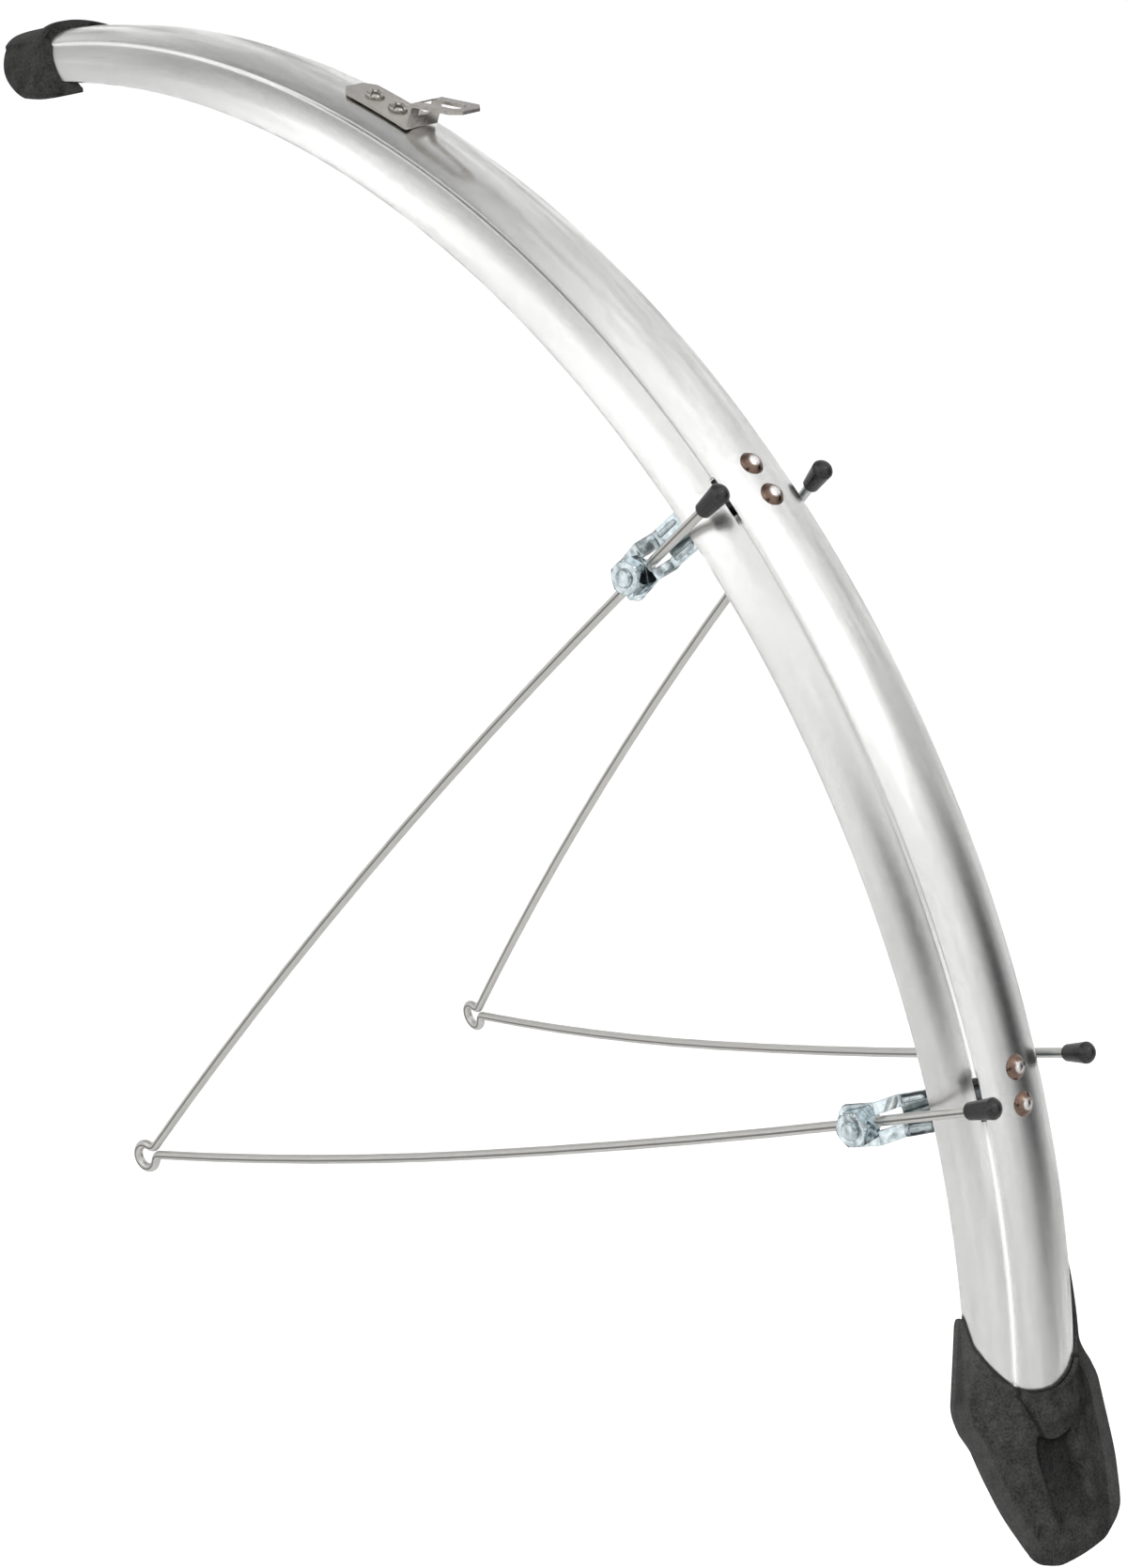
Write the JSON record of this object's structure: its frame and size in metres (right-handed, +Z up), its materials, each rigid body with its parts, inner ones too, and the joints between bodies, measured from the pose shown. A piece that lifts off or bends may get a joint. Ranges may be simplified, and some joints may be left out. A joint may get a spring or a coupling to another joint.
{
  "type": "bicycle mudguard",
  "caption": "Curved mudguard for a bicycle front wheel, with a nose cap, rubber flap, slotted crown bracket and bent wire stays in bolted clamps.",
  "frame": {"origin": "midway between the two stay eyelets, which bolt to the fork ends", "axes": "+X to the rear of the bicycle, +Y to the rider's right, +Z up; the wheel axle runs along Y at x -28.8 mm, z +2.9 mm"},
  "size_m": [0.4928, 0.1574, 0.3933],
  "materials": {
    "blade_silver": "silver metallic film under a clear gloss skin",
    "trim_black": "fine grained charcoal",
    "flap_rubber": "fine grained charcoal",
    "bracket_steel": "satin stainless",
    "clamp_zinc": "bright bluish zinc plate",
    "stay_steel": "satin drawn wire",
    "rivet_steel": "dull steel",
    "rivet_bright": "polished nickel",
    "cap_black": "smooth soft black"
  },
  "bodies": {
    "root": {"blade": "blade_silver", "nose_cap": "trim_black", "mud_flap": "flap_rubber", "crown_bracket": "bracket_steel", "upper_bridge": "clamp_zinc", "lower_bridge": "clamp_zinc", "left_stay": "stay_steel", "right_stay": "stay_steel", "crown_rivet_1": "rivet_steel", "crown_rivet_2": "rivet_steel", "upper_rivet_1": "rivet_bright", "upper_rivet_2": "rivet_bright", "upper_left_eye_bolt": "clamp_zinc", "upper_left_nut": "clamp_zinc", "upper_left_cap": "cap_black", "upper_right_eye_bolt": "clamp_zinc", "upper_right_nut": "clamp_zinc", "upper_right_cap": "cap_black", "lower_rivet_1": "rivet_bright", "lower_rivet_2": "rivet_bright", "lower_left_eye_bolt": "clamp_zinc", "lower_left_nut": "clamp_zinc", "lower_left_cap": "cap_black", "lower_right_eye_bolt": "clamp_zinc", "lower_right_nut": "clamp_zinc", "lower_right_cap": "cap_black"}
  },
  "joints": []
}
